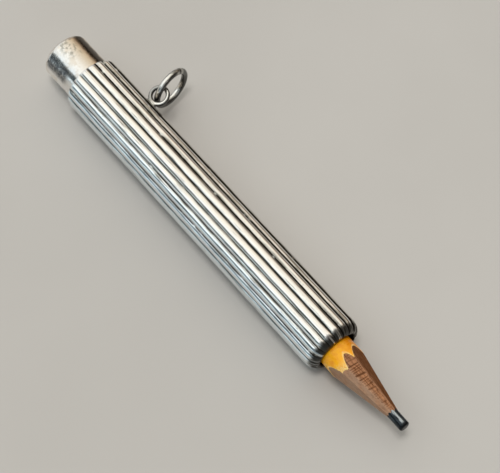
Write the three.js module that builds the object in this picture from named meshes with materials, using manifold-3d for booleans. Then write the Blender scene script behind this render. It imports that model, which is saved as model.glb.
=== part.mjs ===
// A short wooden pencil in a reeded silver sliding holder with a hanging ring.
// Millimetres, +Z up. The holder lies along X, and the pencil points toward +X.
// Lengths along the holder are counted from the sleeve's back rim, at x = 0,
// and angles round it from +Y toward +Z. The whole part is then moved so that
// its origin is the middle of its outline, on the surface that it lies on.

import * as THREE from 'three';
import { mergeVertices } from 'three/addons/utils/BufferGeometryUtils.js';
import Module from 'manifold-3d';

const wasm = await Module();
wasm.setup();

// The wooden pencil
const pencilRadius = 3.62; // over the lacquer
const lacquerThickness = 0.1;
const leadRadius = 1.13;
const glueLine = 0.03; // between lead, slats and lacquer
const pencilLength = 57; // butt to the tip of the lead
const coneStart = 1.7; // from the sleeve's mouth to the first knife cuts
const coneLength = 14.3; // from the first cuts to the end of the wood
const leadShown = 4.0; // bare lead in front of the wood
const leadRounding = 0.35;
const slatAngle = 35; // turn of the glued seam round the pencil, degrees
const pencilLean = 0.65; // the fingers let the pencil lean this far aside, degrees

// The knife cuts round the cone: where each lies, in degrees, and how much later it starts
const knifeCuts = [
  { around: 49, later: 0.0 },
  { around: 94, later: 0.3 },
  { around: 132, later: 2.9 },
  { around: 170, later: 0.0 },
  { around: 214, later: 0.6 },
  { around: 258, later: 0.2 },
  { around: 304, later: 0.9 },
  { around: 356, later: 0.1 },
];

// Spring fingers that grip the pencil
const gripClearance = 0.06; // between finger pads and lacquer
const fingerWall = 0.4;
const fingerTaper = 0.62; // how far the fingers bend inward
const fingerCount = 4;
const fingerSlit = 0.9;
const slitRoot = 0.5; // from the grip's ring to the slits
const slitTurn = 45; // of the first slit round the pencil, degrees
const gripRingLength = 4.5;
const fingerLength = 9.5;
const padLength = 2.6;
const gripAhead = 1.5; // from the pencil's butt to the back of the grip

// Slide tube with its closed back end
const tubeWall = 0.5;
const seatGap = 0.02; // soldered and pressed seats
const runningGap = 0.05; // radial gap of what slides or turns
const endGap = 0.05; // gap of two faces that stop each other
const capReach = 9.3; // from the sleeve's back rim to the end of the cap
const capThickness = 1.3;
const capRounding = 1.1;
const capSpigot = 1.6;
const backStopThickness = 1.2;
const backStopGap = 0.3;
const travel = 22; // the tube draws out this far and takes the point inside

// Collars and drag spring on the slide tube
const collarLength = 2.4;
const springLength = 1.6;
const springWall = 0.18;
const springCut = 28; // opening of the split spring, degrees

// Reeded sleeve with a turned-in nose
const sleeveLength = 77.8; // back rim to mouth rim
const linerWall = 0.25; // back bush, and the collars that run in the bore
const sleeveWall = 0.35; // metal left under the grooves
const reedDepth = 0.45;
const reedCount = 19;
const reedEnd = 1.0; // sloping back ends of the reeds
const reedEndBend = { along: 0.33, height: 0.6 }; // where the slope bends, as shares of it
const backRimStep = 0.12; // the back rim lies this much under the grooves
const noseLength = 2.8;
const noseFade = 0.45; // share of the grooves' depth that is gone at the mouth
const noseWall = 0.55;
const mouthGap = 0.68; // between the pencil and the mouth
const lipWidth = 0.35;
const backBushLength = 6;
const backBushInset = 0.6;
const noseBushLength = 2.2;
const noseBushGap = 0.9; // between the pencil and the nose bush

// Eyelet and hanging ring
const eyeletPlace = 12.9; // from the sleeve's back rim
const eyeletTurn = 18; // of the groove that it stands in round the sleeve, degrees
const eyeletHole = 1.4; // radius of its hole
const eyeletWire = 0.9;
const eyeletSeat = 0.3; // the wire stands this far above the groove's bottom
const footLength = 2.6;
const footHeight = 0.75;
const ringHole = 3.55; // radius of the ring's hole
const ringWidth = 1.32; // across the ring's wire, in its plane
const ringThickness = 1.36;
const ringAside = 0.45; // the ring hangs this far behind the eyelet's middle
const ringPlay = 0.2; // between the ring and the eyelet's outer wire
const ringClearance = 0.05; // between the ring and the eyelet's inner wire
const ringJoint = 54; // where the ring's ends meet, degrees
const ringJointGap = 0.1;
const ringSlant = 5.7; // the ring hangs askew, its far side toward the back, degrees
const ringTwist = -7.4; // and turned about the line from the eyelet to its middle

// Fineness of round shapes
const roundSteps = 48;
const leadSteps = 24;
const reedPoints = [-1, -0.8, -0.4, 0, 0.4, 0.8]; // across one reed, crest at 0
const noseSteps = 5;
const cornerSteps = 4;
const leadEndSteps = 2;
const eyeletSteps = 36;
const ringSteps = 44;
const wireSides = 10;
const cutOver = 1; // a cutting block reaches this far past what it cuts

// Radii and places that follow from the sizes above
const degrees = Math.PI / 180;
const mouthRadius = pencilRadius + mouthGap;
const tubeBore = pencilRadius + gripClearance + fingerWall + fingerTaper;
const tubeRadius = tubeBore + tubeWall;
const sleeveBore = tubeRadius + runningGap + linerWall;
const grooveRadius = sleeveBore + sleeveWall;
const sleeveRadius = grooveRadius + reedDepth;
const noseStart = sleeveLength - noseLength;
const noseBushFront = noseStart - noseWall;
const noseBushBack = noseBushFront - noseBushLength;
const tubeBack = capThickness - capReach;
const tubeFront = noseBushBack - endGap;
const backBushFront = backBushInset + backBushLength;
const stopCollarBack = backBushFront + travel + endGap;
const springBack = stopCollarBack + collarLength + endGap;
const keeperCollarBack = springBack + springLength + endGap;
const leadTip = sleeveLength + coneStart + coneLength + leadShown;
const pencilButt = leadTip - pencilLength;
const gripBack = pencilButt + gripAhead;
const fingerTips = gripBack + gripRingLength + fingerLength;
const eyeletAngle = eyeletTurn * degrees;

/** Merges equal vertices, drops triangles without area and turns the faces outward. */
function closed(geometry) {
  const bare = new THREE.BufferGeometry();
  bare.setAttribute('position', geometry.getAttribute('position').clone());
  if (geometry.index) {
    bare.setIndex(geometry.index.clone());
  }
  const merged = mergeVertices(bare, 1e-5);
  const index = Array.from(merged.index.array);
  const kept = [];
  for (let i = 0; i < index.length; i += 3) {
    const [a, b, c] = index.slice(i, i + 3);
    if (a !== b && b !== c && c !== a) {
      kept.push(a, b, c);
    }
  }
  merged.setIndex(kept);
  if (volume(merged) < 0) {
    for (let i = 0; i < kept.length; i += 3) {
      [kept[i], kept[i + 1]] = [kept[i + 1], kept[i]];
    }
    merged.setIndex(kept);
  }
  return merged;
}

/** Volume that a closed mesh encloses, negative where its faces point inward. */
function volume(geometry) {
  const place = geometry.getAttribute('position');
  const corners = [new THREE.Vector3(), new THREE.Vector3(), new THREE.Vector3()];
  let sum = 0;
  for (let i = 0; i < geometry.index.count; i += 3) {
    corners.forEach((corner, k) => corner.fromBufferAttribute(place, geometry.index.getX(i + k)));
    sum += corners[0].dot(corners[1].clone().cross(corners[2])) / 6;
  }
  return sum;
}

/** A closed mesh as a solid that can be joined and cut. */
function solid(geometry) {
  const clean = closed(geometry);
  return new wasm.Manifold(new wasm.Mesh({
    numProp: 3,
    vertProperties: new Float32Array(clean.getAttribute('position').array),
    triVerts: new Uint32Array(clean.index.array),
  }));
}

/** A joined or cut solid as a mesh. */
function shaped(body) {
  const mesh = body.getMesh();
  const geometry = new THREE.BufferGeometry();
  geometry.setAttribute('position', new THREE.BufferAttribute(mesh.vertProperties, 3));
  geometry.setIndex(Array.from(mesh.triVerts));
  return geometry;
}

/** A piece turned round the X axis from [x, radius] points; a ring's outline closes on itself. */
function turned(outline, steps = roundSteps) {
  const points = outline.map(([x, radius]) => new THREE.Vector2(radius, x));
  const geometry = new THREE.LatheGeometry(points, steps);
  geometry.rotateZ(-Math.PI / 2);
  return closed(geometry);
}

/** A plain ring round the X axis. */
function collar(back, length, inner, outer) {
  const front = back + length;
  return turned([[back, inner], [back, outer], [front, outer], [front, inner], [back, inner]]);
}

/** A plain bar round the X axis. */
function bar(back, front, radius, steps = roundSteps) {
  return turned([[back, 0], [back, radius], [front, radius], [front, 0]], steps);
}

/** A surface through rings of points; its last ring joins the first, or both ends are closed flat. */
function skin(rings, joined) {
  const across = rings[0].length;
  const places = rings.flat().flatMap((point) => point.toArray());
  const faces = [];
  const bands = joined ? rings.length : rings.length - 1;
  for (let i = 0; i < bands; i++) {
    const here = i * across;
    const next = ((i + 1) % rings.length) * across;
    for (let j = 0; j < across; j++) {
      const k = (j + 1) % across;
      faces.push(here + j, next + j, next + k, here + j, next + k, here + k);
    }
  }
  if (!joined) {
    const last = (rings.length - 1) * across;
    for (let j = 1; j < across - 1; j++) {
      faces.push(0, j, j + 1, last, last + j + 1, last + j);
    }
  }
  const geometry = new THREE.BufferGeometry();
  geometry.setAttribute('position', new THREE.Float32BufferAttribute(places, 3));
  geometry.setIndex(faces);
  return closed(geometry);
}

/** Sines and cosines of a quarter turn in equal steps. */
function quarterTurn(steps) {
  return Array.from({ length: steps + 1 }, (_, i) => {
    const turn = (i / steps) * Math.PI / 2;
    return { sine: Math.sin(turn), cosine: Math.cos(turn) };
  });
}

/** Height of a reed's round back, as a share of its depth, at a place from -1 to 1 across it. */
function reedHeight(place) {
  const halfAngle = Math.PI / reedCount;
  const halfWidth = grooveRadius * Math.sin(halfAngle);
  const rise = sleeveRadius - grooveRadius * Math.cos(halfAngle);
  const round = (halfWidth ** 2 + rise ** 2) / (2 * rise);
  const centre = sleeveRadius - round;
  const aside = centre * Math.sin(place * halfAngle);
  const radius = centre * Math.cos(place * halfAngle) + Math.sqrt(round ** 2 - aside ** 2);
  return (radius - grooveRadius) / reedDepth;
}

/** Angles round the sleeve at which its outline has a point, starting at the eyelet's groove. */
function reedAngles() {
  const pitch = 360 / reedCount * degrees;
  const angles = [];
  for (let reed = 0; reed < reedCount; reed++) {
    for (const place of reedPoints) {
      const angle = eyeletAngle + pitch * (reed + (place + 1) / 2);
      angles.push({ angle, height: reedHeight(place) });
    }
  }
  return angles;
}

/** One ring of the sleeve's surface, from groove radius to crest radius. */
function reededRing(x, groove, crest) {
  return reedAngles().map(({ angle, height }) => {
    const radius = groove + (crest - groove) * height;
    return new THREE.Vector3(x, radius * Math.cos(angle), radius * Math.sin(angle));
  });
}

/** A plain ring of the sleeve's surface. */
function plainRing(x, radius) {
  return reededRing(x, radius, radius);
}

/** The sleeve: reeds outside, turned in over a quarter ellipse to the mouth, and a smooth bore. */
function sleeve() {
  const rim = mouthRadius + lipWidth;
  const bendHeight = reedDepth * reedEndBend.height;
  const rings = [
    plainRing(0, sleeveBore),
    plainRing(0, grooveRadius - backRimStep),
    reededRing(reedEnd * reedEndBend.along, grooveRadius, grooveRadius + bendHeight),
    reededRing(reedEnd, grooveRadius, sleeveRadius),
  ];
  for (const { sine, cosine } of quarterTurn(noseSteps)) {
    const crest = rim + (sleeveRadius - rim) * cosine;
    const depth = reedDepth * (1 - noseFade * sine);
    rings.push(reededRing(noseStart + noseLength * sine, crest - depth, crest));
  }
  rings.push(plainRing(sleeveLength, mouthRadius));
  const innerLength = sleeveLength - noseWall - noseBushFront;
  for (const { sine, cosine } of quarterTurn(cornerSteps).reverse()) {
    const radius = mouthRadius + (sleeveBore - mouthRadius) * cosine;
    rings.push(plainRing(noseBushFront + innerLength * sine, radius));
  }
  return skin(rings, true);
}

/** The cap that closes the tube: a rounded disc with a spigot in the tube's bore. */
function endCap() {
  const corner = quarterTurn(cornerSteps).map(({ sine, cosine }) => [
    -capReach + capRounding * (1 - cosine),
    tubeRadius - capRounding * (1 - sine),
  ]);
  return turned([
    [-capReach, 0],
    ...corner,
    [tubeBack, tubeRadius],
    [tubeBack, tubeBore - seatGap],
    [tubeBack + capSpigot, tubeBore - seatGap],
    [tubeBack + capSpigot, 0],
  ]);
}

/** The split spring ring that drags in the sleeve's bore between the two collars. */
function dragSpring() {
  const outer = sleeveBore - runningGap;
  const inner = outer - springWall;
  const sections = [];
  for (let i = 0; i <= roundSteps; i++) {
    const angle = (90 + springCut / 2 + (360 - springCut) * i / roundSteps) * degrees;
    const corner = (x, radius) => new THREE.Vector3(x, radius * Math.cos(angle), radius * Math.sin(angle));
    sections.push([
      corner(springBack, inner),
      corner(springBack, outer),
      corner(springBack + springLength, outer),
      corner(springBack + springLength, inner),
    ]);
  }
  return skin(sections, false);
}

/** The grip: a ring soldered in the tube, with slit fingers bent in to pads round the pencil. */
function pencilGrip() {
  const seat = tubeBore - seatGap;
  const pad = pencilRadius + gripClearance;
  const padBack = fingerTips - padLength;
  const ringFront = gripBack + gripRingLength;
  const shell = solid(turned([
    [gripBack, seat - fingerWall],
    [gripBack, seat],
    [ringFront, seat],
    [padBack, pad + fingerWall],
    [fingerTips, pad + fingerWall],
    [fingerTips, pad],
    [padBack, pad],
    [ringFront, seat - fingerWall],
    [gripBack, seat - fingerWall],
  ]));
  const slitLength = fingerLength - slitRoot + cutOver;
  let cut = shell;
  for (let i = 0; i < fingerCount / 2; i++) {
    const slit = new THREE.BoxGeometry(slitLength, 2 * (tubeRadius + cutOver), fingerSlit);
    slit.rotateX((slitTurn + 360 * i / fingerCount) * degrees);
    slit.translate(ringFront + slitRoot + slitLength / 2, 0, 0);
    cut = cut.subtract(solid(slit));
  }
  return shaped(cut);
}

/** Everything that the knife took off the front of the pencil, as one solid. */
function knifeWaste() {
  const start = sleeveLength + coneStart;
  const woodEnd = start + coneLength;
  const chipLength = 2 * coneLength;
  const chipWidth = 6 * pencilRadius;
  const chipHeight = 2 * pencilRadius;
  let waste = null;
  for (const { around, later } of knifeCuts) {
    const slope = Math.atan2(pencilRadius - leadRadius, woodEnd - start - later);
    const chip = new THREE.BoxGeometry(chipLength, chipWidth, chipHeight);
    chip.translate(chipLength / 2 - pencilRadius, 0, chipHeight / 2);
    chip.rotateY(slope);
    chip.translate(start + later, 0, pencilRadius);
    chip.rotateX((around - 90) * degrees);
    const body = solid(chip);
    waste = waste ? waste.add(body) : body;
  }
  return waste;
}

/** A piece of the pencil with the knife cuts taken off. */
function whittled(body) {
  return shaped(body.subtract(knifeWaste()));
}

/** One cedar slat: half of the round casing with half of the lead's groove. */
function slat(side) {
  const front = leadTip - leadShown / 2;
  const outer = pencilRadius - lacquerThickness - glueLine;
  const inner = leadRadius + glueLine;
  const casing = solid(turned([
    [pencilButt, inner], [pencilButt, outer], [front, outer], [front, inner], [pencilButt, inner],
  ]));
  const half = new THREE.BoxGeometry(2 * pencilLength, 4 * pencilRadius, 2 * pencilRadius);
  half.translate(pencilButt + pencilLength / 2, 0, side * (pencilRadius + glueLine / 2));
  half.rotateX(slatAngle * degrees);
  return whittled(casing.intersect(solid(half)));
}

/** The coat of lacquer, cut to scallops by the knife. */
function lacquerCoat() {
  const front = leadTip - leadShown / 2;
  const inner = pencilRadius - lacquerThickness;
  return whittled(solid(collar(pencilButt, front - pencilButt, inner, pencilRadius)));
}

/** The lead with its blunt, slightly rounded end. */
function lead() {
  const end = quarterTurn(leadEndSteps).map(({ sine, cosine }) => [
    leadTip - leadRounding * (1 - sine),
    leadRadius - leadRounding * (1 - cosine),
  ]);
  return turned([[pencilButt, 0], [pencilButt, leadRadius], ...end, [leadTip, 0]], leadSteps);
}

/** The eyelet: a wire ring in line with the sleeve, and its foot in a groove between two reeds. */
function eyelet() {
  const middle = eyeletHole + eyeletWire / 2;
  const bottom = grooveRadius + eyeletSeat;
  const hoop = new THREE.TorusGeometry(middle, eyeletWire / 2, wireSides, eyeletSteps);
  hoop.translate(0, bottom + eyeletHole + eyeletWire, 0);
  const pitch = 360 / reedCount;
  const side = [0, 1, 2].map((k) => {
    const turn = pitch * (reedPoints[k] + 1) / 2 * degrees;
    const radius = grooveRadius + reedDepth * reedHeight(reedPoints[k]) + endGap;
    return [radius * Math.sin(turn), radius * Math.cos(turn)];
  });
  const top = bottom + footHeight;
  const outline = new THREE.Shape();
  outline.moveTo(-side[2][0], side[2][1]);
  outline.lineTo(-side[1][0], side[1][1]);
  outline.lineTo(side[0][0], side[0][1]);
  outline.lineTo(side[1][0], side[1][1]);
  outline.lineTo(side[2][0], side[2][1]);
  outline.lineTo(eyeletWire / 2, top);
  outline.lineTo(-eyeletWire / 2, top);
  outline.closePath();
  const foot = new THREE.ExtrudeGeometry(outline, { depth: footLength, bevelEnabled: false });
  foot.rotateY(Math.PI / 2);
  foot.translate(-footLength / 2, 0, 0);
  const joined = shaped(solid(hoop).add(solid(foot)));
  joined.rotateX(eyeletAngle);
  return joined;
}

/**
 * How the jump ring hangs, seen along X from the sleeve's axis: the middle of the
 * eyelet's outer wire, that the ring swings about, and the way from it to the ring's middle.
 */
function ringHang() {
  const middle = grooveRadius + eyeletSeat + eyeletHole + eyeletWire;
  const reach = Math.sqrt((eyeletHole + eyeletWire / 2) ** 2 - ringAside ** 2);
  const toOuter = ringHole - eyeletWire / 2 - ringPlay;
  const toInner = ringHole + ringWidth + eyeletWire / 2 + ringClearance;
  const bend = Math.acos(((2 * reach) ** 2 + toOuter ** 2 - toInner ** 2) / (4 * reach * toOuter));
  const down = eyeletAngle - (Math.PI - bend);
  const outer = middle + reach;
  return {
    pivot: new THREE.Vector3(0, outer * Math.cos(eyeletAngle), outer * Math.sin(eyeletAngle)),
    way: new THREE.Vector3(0, Math.cos(down), Math.sin(down)),
    distance: toOuter,
  };
}

/** The jump ring round its own middle, in the plane across X, with its ends butted. */
function jumpRing() {
  const middle = ringHole + ringWidth / 2;
  const half = ringJointGap / 2 / middle;
  const sections = [];
  for (let i = 0; i <= ringSteps; i++) {
    const angle = ringJoint * degrees + half + (2 * Math.PI - 2 * half) * i / ringSteps;
    const section = [];
    for (let j = 0; j < wireSides; j++) {
      const turn = 2 * Math.PI * j / wireSides;
      const radius = middle + ringWidth / 2 * Math.cos(turn);
      section.push(new THREE.Vector3(
        ringThickness / 2 * Math.sin(turn), radius * Math.cos(angle), radius * Math.sin(angle),
      ));
    }
    sections.push(section);
  }
  return skin(sections, false);
}

const finishes = {
  reededSilver: { color: 0xc9c5bb, roughness: 0.22, metalness: 1 },
  smoothSilver: { color: 0xc4beb4, roughness: 0.3, metalness: 1 },
  darkSilver: { color: 0x5b5a58, roughness: 0.32, metalness: 1 },
  springMetal: { color: 0xb08d52, roughness: 0.35, metalness: 1 },
  lacquer: { color: 0xf0a028, roughness: 0.3, metalness: 0 },
  cedar: { color: 0x8a5a44, roughness: 0.75, metalness: 0 },
  graphite: { color: 0x3c3f45, roughness: 0.4, metalness: 0.2 },
};

/** Adds one named piece with its finish to a group. */
function add(group, name, geometry, finish) {
  geometry.computeVertexNormals();
  const material = new THREE.MeshStandardMaterial({ ...finishes[finish], flatShading: true });
  const mesh = new THREE.Mesh(geometry, material);
  mesh.name = name;
  group.add(mesh);
}

/** What stays with the sleeve. */
function sleeveGroup() {
  const group = new THREE.Group();
  const liner = sleeveBore - seatGap;
  const backBush = collar(backBushInset, backBushLength, tubeRadius + runningGap, liner);
  const noseBush = collar(noseBushBack, noseBushLength, pencilRadius + noseBushGap, liner);
  add(group, 'sleeve', sleeve(), 'reededSilver');
  add(group, 'back_bush', backBush, 'smoothSilver');
  add(group, 'nose_bush', noseBush, 'smoothSilver');
  add(group, 'eyelet', eyelet(), 'darkSilver');
  group.getObjectByName('eyelet').position.x = eyeletPlace;
  return group;
}

/** What slides in the sleeve. */
function slideGroup() {
  const group = new THREE.Group();
  const seat = tubeRadius + seatGap;
  const running = sleeveBore - runningGap;
  const tubeLength = tubeFront - tubeBack;
  add(group, 'slide_tube', collar(tubeBack, tubeLength, tubeBore, tubeRadius), 'smoothSilver');
  add(group, 'end_cap', endCap(), 'smoothSilver');
  add(group, 'stop_collar', collar(stopCollarBack, collarLength, seat, running), 'smoothSilver');
  add(group, 'keeper_collar', collar(keeperCollarBack, collarLength, seat, running), 'smoothSilver');
  add(group, 'drag_spring', dragSpring(), 'springMetal');
  const stopFront = pencilButt - backStopGap;
  const backStop = bar(stopFront - backStopThickness, stopFront, tubeBore - seatGap);
  add(group, 'back_stop', backStop, 'smoothSilver');
  add(group, 'pencil_grip', pencilGrip(), 'springMetal');
  return group;
}

/** The pencil, which leans a little aside about the finger pads. */
function pencilGroup() {
  const pads = fingerTips - padLength / 2;
  const pencil = new THREE.Group();
  pencil.position.x = -pads;
  add(pencil, 'upper_slat', slat(1), 'cedar');
  add(pencil, 'lower_slat', slat(-1), 'cedar');
  add(pencil, 'lacquer_coat', lacquerCoat(), 'lacquer');
  add(pencil, 'lead', lead(), 'graphite');
  const group = new THREE.Group();
  group.position.x = pads;
  group.rotation.z = -pencilLean * degrees;
  group.add(pencil);
  return group;
}

/** The ring that hangs in the eyelet. */
function ringGroup() {
  const { pivot, way, distance } = ringHang();
  const group = new THREE.Group();
  add(group, 'jump_ring', jumpRing(), 'darkSilver');
  group.getObjectByName('jump_ring').position.copy(way).multiplyScalar(distance);
  group.position.copy(pivot).setX(eyeletPlace - ringAside);
  const across = new THREE.Vector3(1, 0, 0).cross(way);
  const twist = new THREE.Quaternion().setFromAxisAngle(way, ringTwist * degrees);
  group.quaternion.setFromAxisAngle(across, ringSlant * degrees).multiply(twist);
  return group;
}

const holder = new THREE.Group();
holder.add(sleeveGroup(), slideGroup(), pencilGroup(), ringGroup());
holder.updateMatrixWorld(true);
const extent = new THREE.Box3().setFromObject(holder, true);
const centre = extent.getCenter(new THREE.Vector3());
holder.position.set(-centre.x, -centre.y, -extent.min.z);

export default holder;
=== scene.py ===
"""A short whittled pencil in a reeded silver sliding holder, on a pale table.

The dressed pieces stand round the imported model, in its own frame and in metres. Sizes
are written in millimetres. Lengths along the holder are counted from the sleeve's back
rim, and angles round it from +Y toward +Z, as in the part's own source.
"""

from __future__ import annotations

import logging
import math
from collections.abc import Sequence
from dataclasses import dataclass
from enum import Enum
from functools import cached_property, reduce

import bpy
import numpy as np
from mathutils import Matrix, Quaternion, Vector


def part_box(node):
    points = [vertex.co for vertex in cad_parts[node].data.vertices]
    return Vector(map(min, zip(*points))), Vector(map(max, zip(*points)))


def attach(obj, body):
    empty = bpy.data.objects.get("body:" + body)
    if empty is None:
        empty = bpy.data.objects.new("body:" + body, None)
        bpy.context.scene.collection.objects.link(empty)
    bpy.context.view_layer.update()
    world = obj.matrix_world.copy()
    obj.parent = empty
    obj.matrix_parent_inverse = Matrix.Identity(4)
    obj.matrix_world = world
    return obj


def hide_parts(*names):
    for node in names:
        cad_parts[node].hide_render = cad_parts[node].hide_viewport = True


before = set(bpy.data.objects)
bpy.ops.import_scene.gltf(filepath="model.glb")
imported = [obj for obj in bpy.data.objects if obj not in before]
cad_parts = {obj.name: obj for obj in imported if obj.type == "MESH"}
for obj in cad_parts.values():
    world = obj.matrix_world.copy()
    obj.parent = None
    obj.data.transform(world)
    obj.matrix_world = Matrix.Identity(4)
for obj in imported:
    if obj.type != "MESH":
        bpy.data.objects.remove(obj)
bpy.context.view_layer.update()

MM = 0.001
FULL_TURN = 2 * math.pi
LOG = logging.getLogger("pencil")

Socket = bpy.types.NodeSocket
Material = bpy.types.Material
Piece = bpy.types.Object
Value = float | Sequence[float] | Socket
Colour = tuple[float, float, float]
Stops = Sequence[tuple[float, Colour]]
Outline = Sequence[tuple[float, float]]


class Ends(Enum):
    """How a form made of rings is closed."""

    JOINED = "the last ring joins the first"
    CAPPED = "each end has a flat cap"


@dataclass(frozen=True)
class Axis:
    """The holder's axis, by the middle of the sleeve's back rim, in metres."""

    origin: tuple[float, float, float]

    @classmethod
    def of_frame(cls) -> Axis:
        """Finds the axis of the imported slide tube.

        Returns:
            that axis, from the middle of the sleeve's back rim
        """
        low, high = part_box("slide_tube")
        rim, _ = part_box("sleeve")
        return cls((rim.x, (low.y + high.y) / 2, (low.z + high.z) / 2))

    def place(self, points: np.ndarray) -> np.ndarray:
        """Points in millimetres from the back rim, as metres in the row frame."""
        return points * MM + np.array(self.origin)


@dataclass(frozen=True)
class Ripples:
    """A smooth, repeatable unevenness over a length and round an axis.

    Attributes:
        seed: number that the waves are drawn from
        waves: how many waves are added up
        shortest: shortest wave along the length, in millimetres
        longest: longest wave along the length, in millimetres
        turns: most waves in one turn round the axis
    """

    seed: int
    waves: int
    shortest: float
    longest: float
    turns: int

    def at(self, along: np.ndarray | float, angle: np.ndarray) -> np.ndarray:
        """The unevenness at places on the surface.

        Args:
            along: lengths along the axis, in millimetres
            angle: angles round the axis, in radians

        Returns:
            heights from about -1 to 1
        """
        draw = np.random.default_rng(self.seed)
        total = np.zeros(np.broadcast(along, angle).shape)
        for _ in range(self.waves):
            length = math.exp(draw.uniform(math.log(self.shortest), math.log(self.longest)))
            turns = int(draw.integers(0, self.turns + 1))
            phase = draw.uniform(0, FULL_TURN)
            lean = draw.choice([-1.0, 1.0])
            total = total + np.sin(FULL_TURN * along / length + lean * turns * angle + phase)
        return total / math.sqrt(self.waves)


def round_about(steps: int) -> np.ndarray:
    """Evenly spaced angles of one full turn, in radians."""
    return np.linspace(0, FULL_TURN, steps, endpoint=False)


def polar(
    along: np.ndarray | float, radius: np.ndarray | float, angle: np.ndarray
) -> np.ndarray:
    """Points round the X axis, by places along it, distances from it and angles from +Y."""
    along, radius, angle = np.broadcast_arrays(along, radius, angle)
    return np.stack([along, radius * np.cos(angle), radius * np.sin(angle)], axis=-1)


def smooth_step(value: np.ndarray | float, low: float, high: float) -> np.ndarray:
    """A soft step from 0 at the low value to 1 at the high one."""
    share = np.clip((value - low) / (high - low), 0, 1)
    return share * share * (3 - 2 * share)


def arc(
    centre: tuple[float, float], radii: tuple[float, float], span: tuple[float, float], steps: int
) -> list[tuple[float, float]]:
    """Points on an ellipse's arc in an outline.

    Args:
        centre: its middle, along the axis and out from it
        radii: its half-axes in the same order
        span: first and last angle in degrees, from the axis outward
        steps: how many steps the arc has

    Returns:
        places along the axis and radii
    """
    turns = np.radians(np.linspace(span[0], span[1], steps + 1))
    along = centre[0] + radii[0] * np.cos(turns)
    out = centre[1] + radii[1] * np.sin(turns)
    return list(zip(along.tolist(), out.tolist()))


def skin(
    name: str,
    rings: np.ndarray,
    ends: Ends,
    shades: dict[str, np.ndarray] | None = None,
    sharp: float = 40.0,
) -> Piece:
    """A closed mesh through rings of points.

    Args:
        name: name of the new piece
        rings: array of rings, points round a ring and coordinates, in metres
        ends: how the form is closed
        shades: number for each point of the rings, by the name that materials read
        sharp: faces that meet at more than this angle keep an edge, in degrees

    Returns:
        the new object, smooth between its edges
    """
    count, across, _ = rings.shape
    points = rings.reshape(-1, 3)
    bands = count if ends is Ends.JOINED else count - 1
    here, along = np.meshgrid(np.arange(across), np.arange(bands))
    near = (along % count) * across
    far = ((along + 1) % count) * across
    after = (here + 1) % across
    quads = np.stack([near + here, far + here, far + after, near + after], axis=-1)
    faces = quads.reshape(-1, 4).tolist()
    if ends is Ends.CAPPED:
        first, last = len(points), len(points) + 1
        points = np.vstack([points, rings[0].mean(0), rings[-1].mean(0)])
        start = (count - 1) * across
        faces += [[first, j, (j + 1) % across] for j in range(across)]
        faces += [[last, start + (j + 1) % across, start + j] for j in range(across)]
    corners = points[[face[:3] for face in faces]]
    turned = np.einsum("ij,ij->i", corners[:, 0], np.cross(corners[:, 1], corners[:, 2]))
    if turned.sum() < 0:
        faces = [face[::-1] for face in faces]
    mesh = bpy.data.meshes.new(name)
    mesh.from_pydata(points.tolist(), [], faces)
    mesh.polygons.foreach_set("use_smooth", np.ones(len(faces), bool))
    mesh.update()
    mesh.set_sharp_from_angle(angle=math.radians(sharp))
    for shade, numbers in (shades or {}).items():
        layer = mesh.attributes.new(shade, "FLOAT", "POINT")
        padded = np.zeros(len(points), np.float32)
        padded[: numbers.size] = numbers.ravel()
        layer.data.foreach_set("value", padded)
    return placed(name, mesh)


def placed(name: str, data: bpy.types.ID) -> Piece:
    """Puts a new object in the scene.

    Args:
        name: its name
        data: the mesh, light or camera that it shows

    Returns:
        the object
    """
    piece = bpy.data.objects.new(name, data)
    bpy.context.scene.collection.objects.link(piece)
    return piece


def lathe(name: str, outline: Outline, axis: Axis, steps: int = 160) -> Piece:
    """A ring turned round the holder's axis, from a closed outline in millimetres."""
    rings = np.stack([polar(x, radius, round_about(steps)) for x, radius in outline])
    return skin(name, axis.place(rings), Ends.JOINED)


@dataclass(frozen=True)
class Dress:
    """Puts a finished piece in its place in the model."""

    body: str
    slot: str
    nodes: tuple[str, ...]

    def on(self, piece: Piece, material: Material) -> None:
        """Gives a piece its material, its body and the nodes that it stands for.

        Args:
            piece: the finished piece
            material: its material
        """
        piece.data.materials.clear()
        piece.data.materials.append(material)
        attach(piece, self.body)
        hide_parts(*self.nodes)
        LOG.info("%s rides on %s, %d points", piece.name, self.body, len(piece.data.vertices))


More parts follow.
